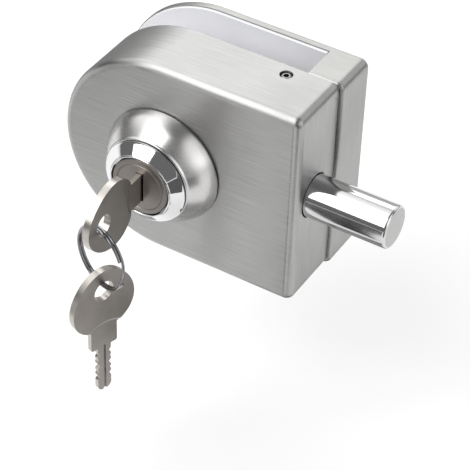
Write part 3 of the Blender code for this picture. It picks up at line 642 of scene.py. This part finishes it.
makeCollar()
makeBezel()
makePlug()
print("cylinder made")


boltPlan = {
    "radius": 6.0, "inner": 31.0, "outer": 63.8, "centre": (0, -10.6, 1.0), "nose": 0.9, "innerChamfer": 2.0,
    "noseSteps": 6, "slotHalf": 2.1, "slotFloor": -2.3, "slotRight": 39.3, "pinX": 35.0, "pinHole": 1.55,
    "outside": 9.0, "endFacing": 0.98,
}


def makeBolt():
    plan = boltPlan
    r, tip, nose = plan["radius"], plan["outer"], plan["nose"]
    inner, chamfer, outside = plan["inner"], plan["innerChamfer"], plan["outside"]
    profile = [(0, tip)]
    for i in range(plan["noseSteps"] + 1):
        turn = pi / 2 * i / plan["noseSteps"]
        profile.append((r - nose + nose * sin(turn), tip - nose + nose * cos(turn)))
    profile += [(r, inner + chamfer), (r - chamfer, inner), (0, inner)]
    bolt = lathe("boltRod", profile, "X", plan["centre"], 128)
    y, z = plan["centre"][1:]
    slot = boxCutter("tangSlot", (inner - 1, y - plan["slotHalf"], plan["slotFloor"]),
                     (plan["slotRight"], y + plan["slotHalf"], z + outside))
    pinHole = rodCutter("pinHole", plan["pinHole"], y - outside, y + outside, "Y", (plan["pinX"], 0, z), 40)
    cutAway(bolt, slot, pinHole)
    finishPiece(bolt, "bolt", "bolt_rod", boltChrome)
    # the end face takes a darker tone: painted shade, with a satin roughness
    bolt.data.materials.append(boltEndSatinShaded)
    for face in bolt.data.polygons:
        if face.normal.x > plan["endFacing"]:
            face.material_index = 1


makeBolt()
print("bolt made")


keyPlan = {
    "thick": 2.0, "bowWide": 19.8, "bowLong": 20.6, "egg": 0.15, "hole": 3.1, "holeFromEnd": 6.8,
    "outlineSteps": 44, "shoulderWide": 8.6, "shoulderEnd": 19.8, "neckRise": 0.3, "corner": 0.4,
    "fillet": 0.25, "bladeWide": 4.4, "bladeLong": 15.8,
    "tipFlat": 0.3, "tipRound": 0.75,  # shares of the blade's half width
    "cutDepths": (0.5, 0.2, 0.6, 0.3, 0.5), "cutFlat": 0.7, "cutPitch": 2.1, "firstCut": 22.3,
    "relief": 0.3, "runOut": 3.0, "stepRadius": 9.632, "stepRise": 1.232, "stepHalf": 58, "stepSteps": 24,
    "grooveWide": 0.9, "grooveDeep": 0.4, "grooveRun": 0.3, "edgeRound": 0.22,
    "edgeFacing": 0.35,  # a normal turned less than this towards the key's face belongs to its edge
    "farSide": 9.0, "farPast": 60.0, "clear": 2.0,  # how far the cutters reach beyond the key
}


def keyOutline(plan):
    # right half from the bow's end to the blade's tip, in (across, along) from the hole's centre
    def bowHalf(place):
        share = (place - (plan["bowLong"] / 2 - plan["holeFromEnd"])) / (plan["bowLong"] / 2)
        share = max(-1, min(1, share))
        return plan["bowWide"] / 2 * sqrt(1 - share * share) * (1 + plan["egg"] * share)
    steps, corner, fillet = plan["outlineSteps"], plan["corner"], plan["fillet"]
    shoulder, end = plan["shoulderWide"] / 2, plan["shoulderEnd"]
    right = []
    for i in range(steps + 1):
        place = -plan["holeFromEnd"] + plan["bowLong"] * (1 - cos(pi * i / steps)) / 2
        if i > steps / 2 and bowHalf(place) < shoulder:
            break
        right.append((bowHalf(place), place))
    neck = right[-1][1]
    half = plan["bladeWide"] / 2
    right += [(shoulder, neck + plan["neckRise"]), (shoulder, end - corner), (shoulder - corner, end),
              (half + fillet, end), (half, end + fillet)]
    flat = plan["cutFlat"] / 2
    for i, depth in enumerate(plan["cutDepths"]):
        middle = plan["firstCut"] + i * plan["cutPitch"]
        right += [(half, middle - flat - depth), (half - depth, middle - flat),
                  (half - depth, middle + flat), (half, middle + flat + depth)]
    tip, tipFlat, tipRound = end + plan["bladeLong"], plan["tipFlat"], plan["tipRound"] * half
    for turn in (0, 25, 50, 75):
        right.append((half * (tipFlat + (1 - tipFlat) * cos(radians(turn))),
                      tip - tipRound + tipRound * sin(radians(turn))))
    right.append((half * tipFlat, tip))
    return right, neck


def shankRelief(plan, neck, side):
    # the shank is milled a little thinner, up to a curved step below the bow that runs out in a slope
    radius = plan["stepRadius"]
    middle = neck - plan["stepRise"] + radius
    corners = [(plan["farSide"], plan["farPast"]), (-plan["farSide"], plan["farPast"])]
    for i in range(plan["stepSteps"] + 1):
        turn = radians(-90 + plan["stepHalf"] * (2 * i / plan["stepSteps"] - 1))
        corners.append((radius * cos(turn), middle + radius * sin(turn)))
    level = side * (plan["thick"] / 2 - plan["relief"]) * mm
    points = [Vector((x * mm, y * mm, level)) for x, y in corners]
    clear = plan["clear"] * mm
    return slab("shankRelief", points, (0, -plan["runOut"] * clear, side * clear))


def makeKey(name, node, body, placing):
    plan = keyPlan
    right, neck = keyOutline(plan)
    left = [(-x, y) for x, y in reversed(right[1:])]
    top = plan["thick"] / 2
    key = slab(name, [Vector((x * mm, y * mm, -top * mm)) for x, y in right + left], (0, 0, 2 * top * mm))
    clear, half = plan["clear"], plan["grooveWide"] / 2
    cutters = [rodCutter("bowHole", plan["hole"], -top - clear, top + clear, "Z", (0, 0, 0), 72)]
    for side in (1, -1):
        low, high = sorted((side * (top - plan["relief"] - plan["grooveDeep"]), side * (top + clear)))
        cutters.append(boxCutter("bladeGroove", (-half, plan["shoulderEnd"] - plan["grooveRun"], low),
                                 (half, plan["farPast"], high)))
        cutters.append(shankRelief(plan, neck, side))
    cutAway(key, *cutters)
    softenEdges(key, plan["edgeRound"], 32)
    key.matrix_world = placing
    finishPiece(key, body, node, keyNickel, 17)
    # the edge faces get a lighter tone than the faces: a painted highlight along the stamped edges
    key.data.materials.append(keyEdgeHighlight)
    across = placing.to_3x3() @ Vector((0, 0, 1))
    for face in key.data.polygons:
        if abs(face.normal.dot(across)) < plan["edgeFacing"]:
            face.material_index = 1


def turned(x, y, z):
    # about X, then Y, then Z
    return Matrix.Rotation(z, 4, "Z") @ Matrix.Rotation(y, 4, "Y") @ Matrix.Rotation(x, 4, "X")


chainPlan = {"holeY": -49.5, "secondHoleZ": -22.2, "heading": -18.0}
firstPlace = Matrix.Translation((0, chainPlan["holeY"] * mm, 0)) @ turned(0, pi / 2, 0)
secondPlace = (Matrix.Translation((0, chainPlan["holeY"] * mm, chainPlan["secondHoleZ"] * mm))
               @ turned(-pi / 2, 0, pi / 2 + radians(chainPlan["heading"])))
makeKey("keyInLock", "key_1", "key", firstPlace)
makeKey("spareKey", "key_2", "second_key", secondPlace)
print("keys made")


ringPlan = {
    "radius": 9.0, "wire": 0.8, "pitch": 0.86, "crossover": 0.07, "centreZ": -11.1, "steps": 200,
}


def makeRing():
    # nearly two turns of wire, which cross from one side to the other where the first turn ends
    plan = ringPlan
    points = []
    for i in range(plan["steps"] + 1):
        turns = plan["crossover"] + (2 - 2 * plan["crossover"]) * i / plan["steps"]
        climb = max(0, min(1, (turns - 1) / (2 * plan["crossover"]) + 0.5))
        climb = climb * climb * (3 - 2 * climb)
        points.append(Vector((plan["radius"] * cos(2 * pi * turns) * mm, plan["pitch"] * (climb - 0.5) * mm,
                              plan["radius"] * sin(2 * pi * turns) * mm)))
    firstVertex("splitRing", points[0])
    extrudeAlong(points)
    closeEdit()
    bpy.ops.object.convert(target="CURVE")
    wire = bpy.context.active_object
    wire.data.bevel_depth = plan["wire"] / 2 * mm
    wire.data.bevel_resolution = 4
    wire.data.use_fill_caps = True
    bpy.ops.object.convert(target="MESH")
    ring = bpy.context.active_object
    ring.matrix_world = (Matrix.Translation((0, chainPlan["holeY"] * mm, plan["centreZ"] * mm))
                         @ Matrix.Rotation(radians(chainPlan["heading"]), 4, "Z"))
    finishPiece(ring, "ring", "key_ring", ringWire, 50, weighted=False)


makeRing()
print("ring made")


grubPlan = {
    "x": coverPlan["screwX"], "y": coverPlan["screwY"], "radius": 1.5, "outer": 29.7, "length": 5.0,
    "chamfer": (0.45, 0.1, 0.25), "threads": 6, "threadPitch": 0.68, "threadFrom": 0.45, "crest": 0.02,
    "root": 0.22, "rootDrop": 0.3, "foot": 0.1, "socket": 0.85, "socketDeep": 2.5,
}


def makeGrubScrew(name, node, side):
    plan = grubPlan
    outer, inner, r = plan["outer"], plan["outer"] - plan["length"], plan["radius"]
    flat, edge, drop = plan["chamfer"]
    profile = [(0, outer), (r - flat, outer), (r - edge, outer - drop)]
    for i in range(plan["threads"]):  # thread drawn as shallow rings
        top = outer - plan["threadFrom"] - i * plan["threadPitch"]
        profile += [(r - plan["crest"], top), (r - plan["root"], top - plan["rootDrop"])]
    profile += [(r - plan["rootDrop"], inner + plan["foot"]), (0, inner)]
    profile = [(a, b * side) for a, b in profile]
    screw = lathe(name, profile, "Z", (plan["x"], plan["y"], 0), 48)
    ends = sorted((side * (outer + 1), side * (outer - plan["socketDeep"])))
    socket = rodCutter("hexSocket", plan["socket"], ends[0], ends[1], "Z", (plan["x"], plan["y"], 0), 6)
    cutAway(screw, socket)
    finishPiece(screw, "housing", node, boltScrewSteel, 30)


makeGrubScrew("upperGrubScrew", "upper_cover_screw", 1)
makeGrubScrew("lowerGrubScrew", "lower_cover_screw", -1)
print("screws made")


wafers = [f"plug_wafer_{i + 1}" for i in range(plugPlan["waferCount"])]
keptFinishes = (
    (bodyAlloy, ["lock_body"]),
    (padRubber, ["front_glass_pad"]),
    (wornBrass, ["cylinder_nut", "bolt_bushing", *wafers]),
    (screwSteel, ["plug_clip", "pinion_clip", "drive_pinion", "bolt_rack", "rack_pin",
                  "upper_clamp_screw", "lower_clamp_screw"]),
)
for finish, nodeNames in keptFinishes:
    for nodeName in nodeNames:
        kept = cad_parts[nodeName]
        kept.data.materials.clear()
        kept.data.materials.append(finish)
print("kept pieces finished")


studioPlan = {
    "floorZ": -0.075, "floorSize": 12.0, "paper": "#F6F6F6", "paperGlow": 0.12,
    "cameraAt": (0.22021, -0.36573, 0.32491),
    "right": (0.85432, 0.51885, 0.03071), "up": (-0.35661, 0.54215, 0.76086),
    "ahead": (-0.37811, 0.66096, -0.64819), "lens": 152.05,
    "dimmest": 0.17,  # the room between the glows
    # soft glows of the room: towards, full within and gone beyond (degrees), strength
    "glows": {
        "backTop": ((-0.378, 0.661, 0.648), 14, 60, 0.45),
        "leftTop": ((-0.66, 0.06, 0.75), 14, 36, 1.0),
        "overTop": ((-0.42, -0.25, 0.87), 8, 26, 0.6),
        "rightTop": ((0.82, -0.12, 0.50), 14, 36, 1.1),
        "backRightTop": ((0.40, 0.80, 0.45), 8, 30, 0.8),
        "rightWall": ((0.96, -0.15, 0.12), 8, 30, 0.5),
    },
    # diffusers: towards, distance, width and height in metres, radiance
    "boxes": {
        "backTopBox": ((-0.378, 0.661, 0.648), 1.2, (1.1, 0.5), 1.9),
        "frontTopBox": ((-0.34, -0.62, 0.70), 1.2, (0.85, 1.05), 2.8),
    },
    # cloths on the floor: tone, then corners (x, y) in metres; the cloths beside and beneath the lock, and
    # the near end of the one under the bolt, are painted shadow, the lock's shadow on the floor shown only in
    # reflections
    "flags": {
        # near end: painted shadow of the lock on the floor in front of the bolt; farther out: the studio's
        # darker side; both seen only in reflections
        "boltFlag": ("#3A3A3A", ((0.020, -0.056), (0.034, -0.056), (-0.33, -1.5), (-0.56, -1.5))),
        # painted shadow: the lock's shadow on the floor beside the hanging keys, seen only in reflections
        "keyShadowFlag": ("#8C8C8C", ((0.020, -0.018), (0.062, -0.018), (0.058, -0.046), (0.044, -0.046),
                                (0.036, -0.036), (0.020, -0.030))),
        # painted shadow: the floor in the lock's shadow beneath it, seen only in reflections
        "underShadowFlag": ("#9A9A9A", ((-0.055, 0.055), (-0.055, -0.005), (0.006, -0.012), (0.010, -0.030),
                                  (0.019, -0.030), (0.019, -0.017), (0.062, -0.017), (0.062, 0.055))),
        "faceFlag": ("#A8A8A8", ((-0.045, -0.098), (-0.20, -0.098), (-1.6, -1.5), (-0.76, -1.5))),
        "rightFlag": ("#505050", ((0.105, -0.135), (0.21, -0.09), (1.2, -0.5), (1.2, -1.5), (0.30, -1.5))),
        "leftFlag": ("#8C8C8C", ((-0.103, 0.123), (-0.158, 0.022), (-1.49, 0.21), (-0.96, 1.15))),
    },
}


def makeFloor():
    deselectAll()
    bpy.ops.mesh.primitive_plane_add(size=studioPlan["floorSize"], location=(0, 0, studioPlan["floorZ"]))
    floor = bpy.context.active_object
    floor.name = "paperFloor"
    made, tree, shader = newMaterial("white seamless paper")
    shader.inputs["Base Color"].default_value = hexColour(studioPlan["paper"])
    shader.inputs["Roughness"].default_value = 0.9
    shader.inputs["Specular IOR Level"].default_value = 0.1
    # lifts the paper to white for the camera and in reflections, and keeps the shadow
    path = addNode(tree, "ShaderNodeLightPath")
    adding = {"operation": "ADD", "use_clamp": True}
    seen = addNode(tree, "ShaderNodeMath", {0: path.outputs["Is Camera Ray"],
                                            1: path.outputs["Is Glossy Ray"]}, adding)
    clear = addNode(tree, "ShaderNodeMath", {0: seen.outputs["Value"],
                                             1: path.outputs["Is Transmission Ray"]}, adding)
    glow = addNode(tree, "ShaderNodeEmission", Color=(1.0, 1.0, 1.0, 1.0), Strength=studioPlan["paperGlow"])
    both = addNode(tree, "ShaderNodeAddShader", {0: shader.outputs["BSDF"], 1: glow.outputs["Emission"]})
    mixed = addNode(tree, "ShaderNodeMixShader", {0: clear.outputs["Value"], 1: shader.outputs["BSDF"],
                                                  2: both.outputs["Shader"]})
    tree.links.new(mixed.outputs["Shader"], tree.nodes["Material Output"].inputs["Surface"])
    floor.data.materials.append(made)


def makeFlags():
    # cloths on the floor, out of the camera's view and hidden from diffuse light and shadows, so that
    # polished metal shows a studio's darker side as painted reflections; near the lock they are painted
    # shadow of the lock on the floor, seen only in reflections
    height = studioPlan["floorZ"] + 2 * mm
    for name, (tone, corners) in studioPlan["flags"].items():
        made, tree, shader = newMaterial(name + " cloth")
        shader.inputs["Base Color"].default_value = hexColour(tone)
        shader.inputs["Roughness"].default_value = 0.9
        flag = filledOutline(name, [(*corner, height) for corner in corners])
        closeEdit()
        flag.data.materials.append(made)
        flag.visible_camera = False
        flag.visible_diffuse = False
        flag.visible_shadow = False


def makeWorld():
    world = bpy.data.worlds.new("studio")
    bpy.context.scene.world = world
    world.use_nodes = True
    tree = world.node_tree
    place = addNode(tree, "ShaderNodeTexCoord")
    total = studioPlan["dimmest"]
    for towards, inner, outer, strength in studioPlan["glows"].values():
        facing = addNode(tree, "ShaderNodeVectorMath", {0: place.outputs["Generated"],
                                                        1: Vector(towards).normalized()},
                         {"operation": "DOT_PRODUCT"})
        soft = addNode(tree, "ShaderNodeMapRange", {"Value": facing.outputs["Value"]},
                       {"interpolation_type": "SMOOTHSTEP"}, From_Min=cos(radians(outer)),
                       From_Max=cos(radians(inner)), To_Min=0.0, To_Max=strength)
        total = addNode(tree, "ShaderNodeMath", {0: soft.outputs["Result"], 1: total},
                        {"operation": "ADD"}).outputs["Value"]
    # past the paper's edge the camera sees white, and metal sees the room
    path = addNode(tree, "ShaderNodeLightPath")
    level = addNode(tree, "ShaderNodeMath", {0: total, 1: path.outputs["Is Camera Ray"]},
                    {"operation": "MAXIMUM"})
    tree.links.new(level.outputs["Value"], tree.nodes["Background"].inputs["Color"])
    tree.nodes["Background"].inputs["Strength"].default_value = 1.0


def softBox(name, towards, distance, size, radiance):
    # a rectangular diffuser seen from the object in the given direction
    direction = Vector(towards).normalized()
    lamp = bpy.data.lights.new(name, "AREA")
    lamp.shape = "RECTANGLE"
    lamp.size, lamp.size_y = size
    lamp.energy = radiance * pi * size[0] * size[1]
    holder = bpy.data.objects.new(name, lamp)
    bpy.context.scene.collection.objects.link(holder)
    holder.location = direction * distance
    holder.rotation_mode = "QUATERNION"
    holder.rotation_quaternion = direction.to_track_quat("Z", "Y")


def makeCamera():
    plan = studioPlan
    lens = bpy.data.cameras.new("photoCamera")
    holder = bpy.data.objects.new("photoCamera", lens)
    bpy.context.scene.collection.objects.link(holder)
    turn = Matrix((plan["right"], plan["up"], [-v for v in plan["ahead"]])).transposed().to_4x4()
    turn.translation = Vector(plan["cameraAt"])
    holder.matrix_world = turn
    lens.sensor_width = 36.0
    lens.lens = plan["lens"]
    lens.clip_start = 0.01
    lens.clip_end = 50.0
    bpy.context.scene.camera = holder


makeFloor()
makeFlags()
makeWorld()
for boxName, (towards, distance, size, radiance) in studioPlan["boxes"].items():
    softBox(boxName, towards, distance, size, radiance)
makeCamera()
bpy.context.scene.view_settings.view_transform = "Standard"
print("studio made")
